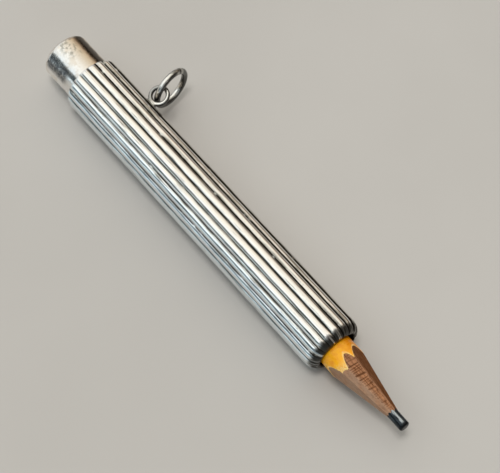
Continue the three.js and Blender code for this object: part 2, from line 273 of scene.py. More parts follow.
class Nodes:
    """A node tree, written as steps from its places to its surface."""

    def __init__(self, tree: bpy.types.NodeTree) -> None:
        """Starts with an empty tree."""
        self.tree = tree
        self.tree.nodes.clear()

    def add(self, kind: str, *inputs: Value, **settings: object) -> bpy.types.Node:
        """A new node.

        Args:
            kind: Blender's name for the node type
            inputs: what its first sockets get, in order
            settings: its properties by name

        Returns:
            the node
        """
        node = self.tree.nodes.new(kind)
        for key, value in settings.items():
            setattr(node, key, value)
        for socket, value in zip(node.inputs, inputs):
            self.feed(socket, value)
        return node

    def fill(self, kind: str, **inputs: Value) -> bpy.types.Node:
        """A new node whose sockets are fed by name.

        Args:
            kind: Blender's name for the node type
            inputs: what its sockets get, by their names, with _ for a space

        Returns:
            the node
        """
        node = self.add(kind)
        for name, value in inputs.items():
            self.feed(node.inputs[name.replace("_", " ")], value)
        return node

    def feed(self, socket: Socket, value: Value) -> None:
        """Joins a socket to another one, or sets its number or colour.

        Args:
            socket: the socket that is fed
            value: another socket, a number, a vector or a colour
        """
        if isinstance(value, bpy.types.NodeSocket):
            self.tree.links.new(value, socket)
        elif isinstance(value, (tuple, list)) and len(value) == 3 and socket.type == "RGBA":
            socket.default_value = (*value, 1)
        else:
            socket.default_value = value

    def math(self, operation: str, first: Value, second: Value = 0.0) -> Socket:
        """The result of one of Blender's sums on numbers."""
        return self.add("ShaderNodeMath", first, second, operation=operation).outputs[0]

    def plus(self, *numbers: Value) -> Socket:
        """The sum of the numbers."""
        return reduce(lambda first, second: self.math("ADD", first, second), numbers)

    def times(self, *numbers: Value) -> Socket:
        """The product of the numbers."""
        return reduce(lambda first, second: self.math("MULTIPLY", first, second), numbers)

    def most(self, *numbers: Value) -> Socket:
        """The largest of the numbers."""
        return reduce(lambda first, second: self.math("MAXIMUM", first, second), numbers)

    def rest(self, share: Value) -> Socket:
        """What a share leaves of 1."""
        return self.math("SUBTRACT", 1.0, share)

    def vector(self, operation: str, first: Value, second: Value) -> Socket:
        """The result of one sum on vectors, such as ADD or MULTIPLY."""
        return self.add("ShaderNodeVectorMath", first, second, operation=operation).outputs[0]

    def step(
        self, value: Value, low: float, high: float, start: float = 0, end: float = 1
    ) -> Socket:
        """A soft step between two values of a number.

        Args:
            value: the number
            low: where the step begins
            high: where it ends
            start: what it gives before
            end: what it gives after

        Returns:
            the result's socket
        """
        ends = (low, high, start, end)
        node = self.add("ShaderNodeMapRange", value, *ends, interpolation_type="SMOOTHSTEP")
        return node.outputs[0]

    def band(self, value: Value, low: float, full: float, fade: float, high: float) -> Socket:
        """A number's band: 0 up to low, 1 from full to fade, and 0 again from high on."""
        return self.times(self.step(value, low, full), self.step(value, fade, high, 1, 0))

    def blend(self, share: Value, first: Value, second: Value) -> Socket:
        """A mix of two colours.

        Args:
            share: how much of the second one shows
            first: the colour at 0
            second: the colour at 1

        Returns:
            the mixed colour's socket
        """
        node = self.add("ShaderNodeMix", share, data_type="RGBA")
        self.feed(node.inputs[6], first)
        self.feed(node.inputs[7], second)
        return node.outputs[2]

    def ramp(self, value: Socket, stops: Stops) -> Socket:
        """A colour that follows a number.

        Args:
            value: the number, from 0 to 1
            stops: places in that range and their colours, in order

        Returns:
            the colour's socket
        """
        node = self.add("ShaderNodeValToRGB", value)
        elements = node.color_ramp.elements
        elements[1].position = stops[-1][0]
        for position, _ in stops[1:-1]:
            elements.new(position)
        for element, (_, colour) in zip(elements, stops):
            element.color = (*colour, 1)
        return node.outputs[0]

    def noise(self, place: Socket, scale: float, detail: float, rough: float) -> Socket:
        """Cloudy noise.

        Args:
            place: the vector that it is read at
            scale: how many clouds there are to a unit
            detail: how many finer layers it has
            rough: how strong these are

        Returns:
            a number's socket, mostly from 0.3 to 0.7
        """
        node = self.fill(
            "ShaderNodeTexNoise", Vector=place, Scale=scale, Detail=detail, Roughness=rough
        )
        return node.outputs[0]

    def spread(self, noise: Socket, size: float) -> Socket:
        """Noise about nought, of that size."""
        return self.times(self.math("SUBTRACT", noise, 0.5), size)

    def specks(self, place: Socket, scale: float, core: float, rim: float) -> Socket:
        """Scattered specks, full within their core and gone at their rim."""
        node = self.fill("ShaderNodeTexVoronoi", Vector=place, Scale=scale)
        return self.step(node.outputs["Distance"], core, rim, 1, 0)

    def parts(self, vector: Socket) -> tuple[Socket, ...]:
        """The three numbers of a vector."""
        return tuple(self.add("ShaderNodeSeparateXYZ", vector).outputs)


class Shader(Nodes):
    """The node tree of one material.

    Attributes:
        barrel: radius at which streaks round the axis keep their own width, in millimetres
        endless: how far streaks that never end are drawn out
    """

    barrel: float = 6.0
    endless: float = 400.0

    def __init__(self, name: str) -> None:
        """Starts an empty material.

        Args:
            name: its name
        """
        self.material = bpy.data.materials.new(name)
        self.material.use_nodes = True
        super().__init__(self.material.node_tree)

    def shade(self, name: str) -> Socket:
        """A number that the mesh carries on its points."""
        return self.add("ShaderNodeAttribute", attribute_name=name).outputs["Fac"]

    def coordinates(self, kind: str) -> Socket:
        """One of Blender's texture coordinates, such as Object or Normal."""
        return self.add("ShaderNodeTexCoord").outputs[kind]

    def places(self, axis: Axis) -> tuple[Socket, Socket, Socket, Socket]:
        """Where a point lies on the holder.

        Args:
            axis: the holder's axis

        Returns:
            its place in millimetres, its length along the axis, its distance from it and
            its angle round it in degrees
        """
        centred = self.vector("SUBTRACT", self.coordinates("Object"), axis.origin)
        place = self.vector("MULTIPLY", centred, (1 / MM, 1 / MM, 1 / MM))
        along, aside, up = self.parts(place)
        radius = self.math("SQRT", self.plus(self.times(aside, aside), self.times(up, up)))
        turn = self.math("ARCTAN2", up, aside)
        return place, along, radius, self.math("DEGREES", turn)

    def aside(self, angle: Socket) -> Socket:
        """How far an angle in degrees turns to the eyelet's side: 1 at 0 degrees, -1 at 180."""
        return self.math("COSINE", self.math("RADIANS", angle))

    def stretched(self, place: Socket, along: float) -> Socket:
        """Places drawn out along the holder, for grain and scratches that run along it."""
        return self.vector("MULTIPLY", place, (1 / along, 1.0, 1.0))

    def spokes(self, place: Socket, radius: Socket) -> Socket:
        """Places that change only round the axis, for streaks that run on over the nose."""
        onto_barrel = self.math("DIVIDE", self.barrel, radius)
        return self.vector("MULTIPLY", self.stretched(place, self.endless), onto_barrel)

    def bumps(self, height: Socket, depth: float, strength: float = 1.0) -> Socket:
        """A normal for fine relief.

        Args:
            height: the relief, from 0 to 1
            depth: its full height in millimetres
            strength: share of it that shows

        Returns:
            the normal's socket
        """
        node = self.fill(
            "ShaderNodeBump", Strength=strength, Distance=depth * MM, Height=height
        )
        return node.outputs[0]

    def surface(self, **inputs: Value) -> Material:
        """Ends the tree in a shader.

        Args:
            inputs: the shader's sockets by name, with _ for a space

        Returns:
            the finished material
        """
        shader = self.fill("ShaderNodeBsdfPrincipled", **inputs)
        self.add("ShaderNodeOutputMaterial", shader.outputs[0])
        return self.material

    def metal(self, colour: Socket, rough: Value, height: Socket, depth: float) -> Material:
        """Ends the tree in bare metal, with fine relief of that full depth in millimetres."""
        normal = self.bumps(height, depth)
        return self.surface(Base_Color=colour, Metallic=1.0, Roughness=rough, Normal=normal)


@dataclass(frozen=True)
class ReededSilver:
    """Polished silver, tarnished nearly black in its grooves and in streaks on its nose, with
    painted dark reflection on the nose, toward the eyelet's side and along the top edge, and
    painted shade low on the far side.

    Attributes:
        axis: the holder's axis
        nose: length along the holder at which the nose's tarnished streaks and painted dark
            reflection begin
        bright: colour of the clean silver above
        painted_cool_light: painted bluish reflection of the side light, low on the side away from
            the eyelet
        film_and_shade: colour of the thin tarnished layer on the reeds, also used for painted shade
            and painted dark reflection
        tarnish_and_shade: colour of the tarnished grooves, also used for painted shade and painted
            dark reflection
    """

    axis: Axis
    nose: float = 75.8
    bright: Colour = (0.93, 0.905, 0.865)
    painted_cool_light: Colour = (0.90, 0.96, 0.99)
    film_and_shade: Colour = (0.21, 0.205, 0.175)
    tarnish_and_shade: Colour = (0.014, 0.011, 0.008)

    def material(self) -> Material:
        """Builds the finish.

        Returns:
            the finished material
        """
        s = Shader("reeded_silver")
        place, along, radius, angle = s.places(self.axis)
        depth = s.shade("groove_depth_and_mouth_shade")
        clouds = s.noise(s.stretched(place, 8.0), 0.9, 5, 0.6)
        streaks = s.noise(s.stretched(place, 26.0), 4.2, 4, 0.62)
        mottle = s.noise(s.stretched(place, 1.6), 4.2, 4, 0.66)
        fingers = s.noise(s.spokes(place, radius), 1.9, 3, 0.6)
        scratches = s.noise(s.stretched(place, 40.0), 9.0, 2, 0.5)
        aside = s.aside(angle)
        # painted dark reflection: the silver darkens toward the eyelet's side and along the top
        # edge; painted shade darkens it low on the far side, and each reed's later flank a little
        painted_upper_side = s.step(aside, -0.17, 0.5, -0.10, 0.17)
        painted_lower_side = s.step(aside, -0.44, -0.87, 0, 0.13)
        edge = s.times(s.band(angle, 0, 20, 34, 48), 0.30)
        painted_flank_shade = s.times(s.shade("reed_side"), 0.05)
        depth_and_painted_shade = s.plus(depth, painted_flank_shade, painted_upper_side, edge, painted_lower_side)
        ragged = s.plus(depth_and_painted_shade, s.spread(clouds, 0.40), s.spread(mottle, 0.34))
        # nose: tarnished streaks, deepened into a painted dark reflection, lighter where the
        # fingers wear through
        onset = s.step(s.plus(along, s.spread(fingers, 2.2)), self.nose, self.nose + 0.9)
        worn = s.times(s.step(fingers, 0.53, 0.61), s.step(depth, 0.35, 0.10), 0.8)
        nose = s.times(onset, s.rest(worn))
        lines = s.times(
            s.step(streaks, 0.575, 0.615),
            s.step(clouds, 0.44, 0.56, 0.15, 0.95),
            s.step(depth, 0.02, 0.30, 0.45, 1),
        )
        film_and_painted_shade = s.times(s.step(ragged, 0.20, 0.62), s.step(streaks, 0.42, 0.58, 0.15, 1))
        film_and_painted_shade = s.most(film_and_painted_shade, lines, s.times(nose, 0.9))
        dark = s.most(s.step(ragged, 0.66, 0.82), s.times(nose, 0.84))
        pits = s.times(s.specks(place, 1.5, 0.08, 0.20), s.step(ragged, 0.20, 0.46))
        nicks = s.specks(s.stretched(place, 2.0), 0.85, 0.12, 0.20)
        nicks = s.times(nicks, s.step(depth, 0.15, 0.35))
        # near-black in tarnished grooves and pits, and as painted shade and painted dark reflection
        # where the masks above call for it
        black = s.times(s.most(dark, pits), s.rest(nicks))
        # painted reflection: bluish silver low on the side away from the eyelet
        colour = s.blend(s.step(aside, -0.35, -0.80), self.bright, self.painted_cool_light)
        colour = s.blend(s.times(film_and_painted_shade, 0.9), colour, self.film_and_shade)
        colour = s.blend(black, colour, self.tarnish_and_shade)
        rough = s.plus(s.step(scratches, 0.35, 0.7, 0.06, 0.14), s.times(black, 0.35))
        height = s.plus(s.times(scratches, 0.3), s.times(streaks, 0.7), s.times(pits, -0.8))
        return s.metal(colour, rough, height, 0.018)


@dataclass(frozen=True)
class SatinSilver:
    """Smooth silver with a satin wear, brownish specks and a smudged grey patina, a painted
    yellowish reflection on the eyelet's side and a painted dark reflection in a streak high on that
    side.
    """

    axis: Axis
    bright: Colour = (0.89, 0.875, 0.85)
    patina: Colour = (0.10, 0.108, 0.118)
    stain: Colour = (0.20, 0.20, 0.165)
    haze_and_warm_reflection: Colour = (0.70, 0.59, 0.46)
    # painted dark reflection colour, for a streak high on the eyelet's side
    brown: Colour = (0.030, 0.021, 0.015)

    def material(self) -> Material:
        """Builds the finish.

        Returns:
            the finished material
        """
        s = Shader("satin_silver")
        place, along, _, angle = s.places(self.axis)
        clouds = s.noise(place, 0.50, 5, 0.62)
        fine = s.noise(place, 2.0, 5, 0.66)
        wavy = s.plus(angle, s.spread(clouds, 30.0))
        length = s.plus(along, s.spread(fine, 1.6))
        patch = s.times(
            s.band(wavy, 124, 134, 154, 168),
            s.band(length, -8.7, -8.0, -3.1, -1.4),
            s.step(fine, 0.34, 0.60, 0.60, 1),
        )
        grains = s.times(s.specks(place, 2.1, 0.10, 0.34), 0.7)
        smudge = s.step(s.noise(place, 1.3, 2, 0.5), 0.44, 0.62)
        near = s.times(s.band(wavy, 62, 78, 98, 114), s.band(along, -9.0, -8.2, -5.2, -3.4))
        spots = s.times(near, s.most(grains, smudge))
        loose = s.step(clouds, 0.46, 0.62, 0, 0.45)
        # painted reflection: hazier and yellowish on the eyelet's side, on top of random haze
        painted_warm_reflection = s.step(s.aside(angle), -0.31, 0.34, 0, 0.9)
        # painted dark reflection: a near-black streak along the tube and cap, high on the eyelet's
        # side
        edge = s.band(wavy, 26, 36, 54, 64)
        colour = s.blend(s.most(loose, painted_warm_reflection), self.bright, self.haze_and_warm_reflection)
        colour = s.blend(s.times(spots, 0.62), colour, self.stain)
        colour = s.blend(s.times(patch, 0.95), colour, self.patina)
        colour = s.blend(s.times(edge, 0.9), colour, self.brown)
        rough = s.plus(s.step(fine, 0.3, 0.7, 0.13, 0.25), s.times(patch, 0.15))
        height = s.plus(s.times(fine, 0.35), s.times(clouds, 0.65))
        return s.metal(colour, rough, height, 0.025)


@dataclass(frozen=True)
class DarkSilver:
    """Oxidised silver wire, nearly black, with a painted highlight of bare silver where it faces up
    and toward -Y.

    Attributes:
        axis: the holder's axis
        name: the material's name
        dull: length along the holder before which less of the painted highlight shows
        dark: colour of the oxide
        rubbed: colour of the bare silver, used for the painted highlight
    """

    axis: Axis
    name: str
    dull: float
    dark: Colour = (0.115, 0.115, 0.110)
    rubbed: Colour = (0.93, 0.91, 0.86)

    def material(self) -> Material:
        """Builds the finish.

        Returns:
            the finished material
        """
        s = Shader(self.name)
        place, along, _, _ = s.places(self.axis)
        clouds = s.noise(place, 0.9, 5, 0.6)
        fine = s.noise(place, 5.0, 3, 0.6)
        _, aside, up = s.parts(s.coordinates("Normal"))
        # painted highlight: bare silver where the wire's normal points up and toward -Y, broken by
        # noise
        facing = s.plus(up, s.times(aside, -0.55), s.spread(clouds, 0.7))
        worn = s.times(
            s.step(facing, 0.72, 1.02),
            s.step(fine, 0.30, 0.55, 0.75, 1),
            s.step(along, self.dull - 0.4, self.dull + 0.4, 0.40, 1),
        )
        worn = s.most(worn, s.times(s.shade("butted"), 0.45))
        colour = s.blend(worn, self.dark, self.rubbed)
        return s.metal(colour, s.step(fine, 0.3, 0.7, 0.10, 0.22), fine, 0.03)


@dataclass(frozen=True)
class SpringMetal:
    """Spring brass or plain inner silver, a little dull."""

    axis: Axis
    name: str
    clean: Colour
    dull: Colour

    def material(self) -> Material:
        """Builds the finish.

        Returns:
            the finished material
        """
        s = Shader(self.name)
        place, _, _, _ = s.places(self.axis)
        clouds = s.noise(place, 0.8, 4, 0.6)
        turned = s.noise(s.vector("MULTIPLY", place, (14.0, 0.6, 0.6)), 1.0, 2, 0.5)
        colour = s.blend(s.step(clouds, 0.4, 0.65), self.clean, self.dull)
        return s.metal(colour, s.step(turned, 0.3, 0.7, 0.24, 0.42), turned, 0.01)


@dataclass(frozen=True)
class Lacquer:
    """Orange-yellow pencil lacquer, glossy, rubbed paler at its cut edge, and deeper as painted
    shade on the side toward the eyelet.
    """

    axis: Axis
    orange: Colour = (0.97, 0.45, 0.010)
    deep: Colour = (0.84, 0.29, 0.003)
    rubbed: Colour = (0.97, 0.76, 0.34)

    def material(self) -> Material:
        """Builds the finish.

        Returns:
            the finished material
        """
        s = Shader("orange_lacquer")
        place, _, _, angle = s.places(self.axis)
        clouds = s.noise(place, 0.7, 4, 0.55)
        peel = s.noise(place, 2.2, 3, 0.5)
        chips = s.noise(place, 5.0, 4, 0.65)
        # deeper orange in random clouds, and as painted shade on the side toward the eyelet
        tone_and_painted_shade = s.most(s.step(clouds, 0.42, 0.75), s.step(s.aside(angle), -0.03, 0.5))
        cut = s.step(s.shade("cut_edge"), 0.55, 1.0)
        near = s.times(cut, s.step(peel, 0.36, 0.6, 0.4, 1), 0.6)
        near = s.most(near, s.times(s.shade("tongue"), s.step(chips, 0.44, 0.58, 0.15, 0.9)))
        colour = s.blend(tone_and_painted_shade, self.orange, self.deep)
        colour = s.blend(near, colour, self.rubbed)
        rough = s.plus(s.step(clouds, 0.3, 0.7, 0.24, 0.36), s.times(near, 0.15))
        height = s.plus(s.times(peel, 0.3), s.times(near, -0.7))
        return s.surface(
            Base_Color=colour, Roughness=rough, Specular_IOR_Level=0.35, Coat_Weight=0.15,
            Coat_Roughness=0.15, Normal=s.bumps(height, 0.04),
        )


@dataclass(frozen=True)
class CutCedar:
    """Reddish-brown cedar, cut with a knife, with painted shade on the side toward the eyelet and
    in the knife's marks, and greyed on the far side by painted cool light.

    Attributes:
        axis: the holder's axis
        pale: colour of the early wood
        dark: colour of the late wood and the fibres, and of the painted shade in the knife's marks
        grey: colour of painted cool light on the side away from the eyelet
        edge: colour of the ridges between the cuts
        painted_shade_chestnut: colour of painted shade on the side toward the eyelet
    """

    axis: Axis
    pale: Colour = (0.46, 0.215, 0.105)
    dark: Colour = (0.105, 0.036, 0.013)
    grey: Colour = (0.40, 0.26, 0.175)
    edge: Colour = (0.56, 0.34, 0.21)
    painted_shade_chestnut: Colour = (0.120, 0.042, 0.012)

    def material(self) -> Material:
        """Builds the finish.

        Returns:
            the finished material
        """
        s = Shader("cut_cedar")
        place, _, _, angle = s.places(self.axis)
        grain = s.noise(s.stretched(place, 16.0), 3.6, 4, 0.65)
        fibre = s.noise(s.stretched(place, 22.0), 11.0, 3, 0.6)
        clouds = s.noise(place, 0.5, 4, 0.6)
        wavy = s.plus(s.aside(angle), s.spread(clouds, 0.28))
        # painted light greys the side away from the eyelet; painted shade darkens the side toward
        # it
        painted_lower_side = s.times(s.step(wavy, -0.28, -0.62), s.step(clouds, 0.3, 0.6, 0.45, 0.85))
        painted_upper_side = s.times(s.step(wavy, 0.17, 0.34), s.step(grain, 0.3, 0.6, 0.75, 0.95))
        # painted shade in the hollows of the knife's marks
        hollow = s.step(s.shade("knife_mark"), 0.15, 0.85, 0, 0.85)
        ridge = s.times(s.shade("ridge"), s.step(grain, 0.35, 0.6, 0.35, 0.75))
        colour = s.blend(s.step(grain, 0.36, 0.70), self.pale, self.dark)
        colour = s.blend(painted_lower_side, colour, self.grey)
        colour = s.blend(painted_upper_side, colour, self.painted_shade_chestnut)
        colour = s.blend(s.step(fibre, 0.55, 0.70, 0, 0.6), colour, self.dark)
        colour = s.blend(hollow, colour, self.dark)
        colour = s.blend(ridge, colour, self.edge)
        height = s.plus(s.times(grain, 0.5), s.times(fibre, 0.5))
        return s.surface(
            Base_Color=colour, Roughness=s.step(grain, 0.3, 0.7, 0.50, 0.68),
            Specular_IOR_Level=0.15, Normal=s.bumps(height, 0.06),
        )


@dataclass(frozen=True)
class Graphite:
    """Burnished lead, slate-dark with streaks along it and a painted highlight in a band on top."""

    axis: Axis
    slate: Colour = (0.060, 0.075, 0.088)
    black: Colour = (0.012, 0.014, 0.016)
    painted_highlight_colour: Colour = (0.46, 0.50, 0.53)

    def material(self) -> Material:
        """Builds the finish.

        Returns:
            the finished material
        """
        s = Shader("graphite")
        place, along, _, angle = s.places(self.axis)
        streaks = s.noise(s.stretched(place, 9.0), 4.5, 3, 0.6)
        grain = s.noise(place, 7.0, 3, 0.6)
        wavy = s.plus(angle, s.spread(streaks, 40.0))
        # painted highlight: a bright band along the top of the lead
        painted_highlight = s.times(s.band(wavy, 96, 106, 114, 124), s.step(along, 97.2, 96.6), 0.9)
        colour = s.blend(s.step(streaks, 0.40, 0.65), self.slate, self.black)
        colour = s.blend(painted_highlight, colour, self.painted_highlight_colour)
        colour = s.blend(s.step(along, 96.9, 97.3), colour, self.black)
        return s.surface(
            Base_Color=colour, Metallic=0.8, Roughness=s.step(grain, 0.3, 0.7, 0.20, 0.32),
            Normal=s.bumps(streaks, 0.02),
        )


@dataclass(frozen=True)
class TableTop:
    """A plain pale table with a faint gloss."""

    pale: Colour = (0.52, 0.505, 0.485)
    dusky: Colour = (0.48, 0.465, 0.445)

    def material(self) -> Material:
        """Builds the finish.

        Returns:
            the finished material
        """
        s = Shader("table_top")
        place = s.coordinates("Object")
        clouds = s.noise(place, 9.0, 4, 0.55)
        fine = s.noise(place, 420.0, 2, 0.5)
        return s.surface(
            Base_Color=s.blend(s.step(clouds, 0.3, 0.7), self.pale, self.dusky),
            Roughness=s.step(clouds, 0.3, 0.7, 0.30, 0.38),
            Specular_IOR_Level=0.4, Normal=s.bumps(fine, 0.02, 0.5),
        )


@dataclass
class ReededSleeve:
    """The outer sleeve: rounded reeds, an open back end and a nose turned in to the mouth.

    Attributes:
        axis: the holder's axis
        length: from the back rim to the mouth
        bore: radius of its inside
        groove_radius: radius to the bottom of the grooves
        crest_radius: radius over the reeds
        reeds: how many reeds there are
        turn: angle of the first groove, in degrees
        points_per_reed: points across one reed
        end_slope: length over which the reeds rise at the back
        rim_step: how much lower than the grooves the back rim is
        rim_tarnish: how dark the back rim is, from 0 to 1
        nose_length: length of the turned-in nose
        nose_wall: thickness of the nose
        nose_fade: share of the reeds' depth that is gone at the mouth
        mouth_radius: radius of the mouth
        lip: width of the mouth's edge
        bore_bevel: width of the bore's bevel at the back
        mouth_bevel: width of the mouth's bevel
        straight_steps: steps along the reeds
        nose_steps: steps round the nose, outside
        wear: depth of the wear on the reeds
        sharp: faces that meet at more than this angle keep an edge, in degrees
        unevenness: where it is worn
    """

    axis: Axis
    length: float = 77.8
    bore: float = 5.5
    groove_radius: float = 5.85
    crest_radius: float = 6.285
    reeds: int = 19
    turn: float = 18.0
    points_per_reed: int = 18
    end_slope: float = 1.0
    rim_step: float = 0.12
    rim_tarnish: float = 0.5
    nose_length: float = 2.8
    nose_wall: float = 0.55
    nose_fade: float = 0.45
    mouth_radius: float = 4.3
    lip: float = 0.35
    bore_bevel: float = 0.08
    mouth_bevel: float = 0.1
    straight_steps: int = 64
    nose_steps: int = 16
    wear: float = 0.022
    sharp: float = 48.0
    unevenness: Ripples = Ripples(seed=11, waves=16, shortest=4.0, longest=30.0, turns=22)

    def reed_height(self, place: np.ndarray) -> np.ndarray:
        """Height of a reed's round back across it.

        Args:
            place: places across the reed, from -1 to 1

        Returns:
            shares of the reed's depth
        """
        half = math.pi / self.reeds
        width = self.groove_radius * math.sin(half)
        rise = self.crest_radius - self.groove_radius * math.cos(half)
        back = (width**2 + rise**2) / (2 * rise)
        centre = self.crest_radius - back
        aside = centre * np.sin(place * half)
        radius = centre * np.cos(place * half) + np.sqrt(back**2 - aside**2)
        return (radius - self.groove_radius) / (self.crest_radius - self.groove_radius)

    def outside(self) -> list[tuple[float, float, float]]:
        """Stations of the reeded outside.

        Returns:
            for each, its place, its crest radius and its reeds' depth
        """
        depth = self.crest_radius - self.groove_radius
        stations = []
        for share in np.sin(np.linspace(0.12, 1, 7) * math.pi / 2):
            x = self.end_slope * (1 - math.sqrt(max(0.0, 1 - share**2)))
            stations.append((x, self.groove_radius + depth * share, depth * share))
        nose_start = self.length - self.nose_length
        for x in np.linspace(self.end_slope, nose_start, self.straight_steps + 1)[1:]:
            stations.append((x, self.crest_radius, depth))
        rim = self.mouth_radius + self.lip
        for turn in np.linspace(0, math.pi / 2, self.nose_steps + 1)[1:]:
            crest = rim + (self.crest_radius - rim) * math.cos(turn)
            faded = depth * (1 - self.nose_fade * math.sin(turn))
            stations.append((nose_start + self.nose_length * math.sin(turn), crest, faded))
        return stations

    def inside(self) -> Outline:
        """The outline of the inside, from the mouth back to the plain bore.

        Returns:
            places along the axis and radii
        """
        nose_start = self.length - self.nose_length
        hollow = (self.nose_length - self.nose_wall, self.bore - self.mouth_radius)
        return [
            (self.length, self.mouth_radius + self.mouth_bevel),
            (self.length - self.mouth_bevel, self.mouth_radius),
            *arc((nose_start, self.mouth_radius), hollow, (0, 90), 8),
        ]

    def build(self) -> Piece:
        """Makes the sleeve's mesh.

        Returns:
            the new object
        """
        share = np.arange(self.reeds * self.points_per_reed) / self.points_per_reed
        angle = FULL_TURN * share / self.reeds + math.radians(self.turn)
        across = 2 * (share % 1) - 1
        height = self.reed_height(across)
        rim = (self.bore, self.bore + self.bore_bevel, self.groove_radius - self.rim_step)
        stations = [(0, radius, self.rim_tarnish) for radius in rim]
        for x, crest, depth in self.outside():
            worn = self.wear * height * np.abs(self.unevenness.at(x, angle))
            stations.append((x, crest - depth * (1 - height) - worn, 1 - height))
        # inside the mouth counts as full groove depth: dark as tarnished silver, and painted shade
        # on the lip and in the nose's hollow
        stations += [(x, radius, 1.0) for x, radius in self.inside()]
        rings = np.stack([polar(x, radius, angle) for x, radius, _ in stations])
        shades = {
            "groove_depth_and_mouth_shade": np.stack([depth + 0 * angle for _, _, depth in stations]),
            "reed_side": np.tile(across, (len(stations), 1)),
        }
        return skin("reeded_sleeve", self.axis.place(rings), Ends.JOINED, shades, self.sharp)

    def dress(self, silver: Material, inner: Material) -> None:
        """Builds the sleeve and its two bushes.

        Args:
            silver: finish of the sleeve
            inner: finish of the bushes
        """
        Dress("holder", "reeded_silver", ("sleeve",)).on(self.build(), silver)
        for node in ("back_bush", "nose_bush"):
            Collar(self.axis, node).dress("holder", "smooth_silver", inner)


@dataclass
class Collar:
    """A plain ring round the holder's axis, as its node is, with its edges broken."""

    axis: Axis
    node: str
    chamfer: float = 0.12

    def bore(self) -> float:
        """Measures the node's hole.

        Returns:
            its radius in millimetres
        """
        points = np.array([v.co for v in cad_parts[self.node].data.vertices])
        offset = (points - np.array(self.axis.origin))[:, 1:] / MM
        return float(np.linalg.norm(offset, axis=1).min())

    def dress(self, body: str, slot: str, metal: Material) -> None:
        """Builds the ring in place of its node.

        Args:
            body: the body that it rides on
            slot: its material slot
            metal: its finish
        """
        low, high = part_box(self.node)
        start = (low.x - self.axis.origin[0]) / MM
        end = (high.x - self.axis.origin[0]) / MM
        outer = (high.y - low.y) / MM / 2
        inner = self.bore()
        cut = min(self.chamfer, (outer - inner) / 3)
        outline = [
            (start, inner), (start, outer - cut), (start + cut, outer),
            (end - cut, outer), (end, outer - cut), (end, inner),
        ]
        piece = lathe(f"{self.node}_turned", outline, self.axis)
        Dress(body, slot, (self.node,)).on(piece, metal)


@dataclass
class SlideTube:
    """The smooth tube that draws out of the sleeve, with its cap and what it carries.

    Attributes:
        axis: the holder's axis
        radius: radius of its outside
        bore: radius of its inside
        back: where the tube ends and the cap begins
        front: where the tube ends in front
        reach: how far the cap reaches behind the sleeve
        rounding: radius of the cap's edge
        crown: how much the cap's flat end swells
        spigot: how far the cap goes into the tube
        seat: gap between the spigot and the bore
        bevel: width of the bevel in front
        dent: depth of the dents
        steps: points in one turn
        sharp: faces that meet at more than this angle keep an edge, in degrees
        unevenness: where it is dented
    """

    axis: Axis
    radius: float = 5.2
    bore: float = 4.7
    back: float = -8.0
    front: float = 72.2
    reach: float = 9.3
    rounding: float = 1.1
    crown: float = 0.03
    spigot: float = 1.6
    seat: float = 0.02
    bevel: float = 0.1
    dent: float = 0.02
    steps: int = 192
    sharp: float = 50.0
    unevenness: Ripples = Ripples(seed=23, waves=14, shortest=2.5, longest=12.0, turns=9)

    def dented(self, name: str, outline: Outline, ends: Ends) -> Piece:
        """A turned piece whose outside is slightly uneven.

        Args:
            name: name of the piece
            outline: places along the axis and radii
            ends: how it is closed

        Returns:
            the new object
        """
        angle = round_about(self.steps)
        rings = []
        for x, radius in outline:
            outside = smooth_step(radius, self.bore + 0.1, self.radius)
            worn = self.dent * outside * np.abs(self.unevenness.at(x, angle))
            rings.append(polar(x, radius - worn, angle))
        return skin(name, self.axis.place(np.stack(rings)), ends, sharp=self.sharp)

    def tube(self) -> Piece:
        """The tube: its outside from back to front, and its bore.

        Returns:
            the new object
        """
        places = np.linspace(self.back, self.front - self.bevel, 70)
        outline = [
            (self.back, self.bore), *((x, self.radius) for x in places),
            (self.front, self.radius - self.bevel), (self.front, self.bore),
        ]
        return self.dented("smooth_tube", outline, Ends.JOINED)

    def cap(self) -> Piece:
        """The cap: a nearly flat end, rounded over to the tube's outside, and its spigot.

        Returns:
            the new object
        """
        centre = (self.rounding - self.reach, self.radius - self.rounding)
        radii = (0.3, 1.2, 2.2, 3.2, 3.8)
        fit = self.bore - self.seat
        outline = [
            *((self.crown * math.cos(radius / 3) - self.reach, radius) for radius in radii),
            *arc(centre, (-self.rounding, self.rounding), (4, 90), 12),
            (self.back, self.radius), (self.back, fit), (self.back + self.spigot, fit),
        ]
        return self.dented("rounded_cap", outline, Ends.CAPPED)

    def dress(self, silver: Material, inner: Material, spring: Material) -> None:
        """Builds the tube, the cap and the collars, and finishes the spring parts.

        Args:
            silver: finish of the tube and the cap
            inner: finish of the collars and the back stop
            spring: finish of the drag spring and the grip
        """
        Dress("tube", "smooth_silver", ("slide_tube",)).on(self.tube(), silver)
        Dress("tube", "smooth_silver", ("end_cap",)).on(self.cap(), silver)
        for node in ("stop_collar", "keeper_collar"):
            Collar(self.axis, node).dress("tube", "smooth_silver", inner)
        for node, metal in (("back_stop", inner), ("drag_spring", spring), ("pencil_grip", spring)):
            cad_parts[node].material_slots[0].material = metal
            LOG.info("%s keeps its solid", node)


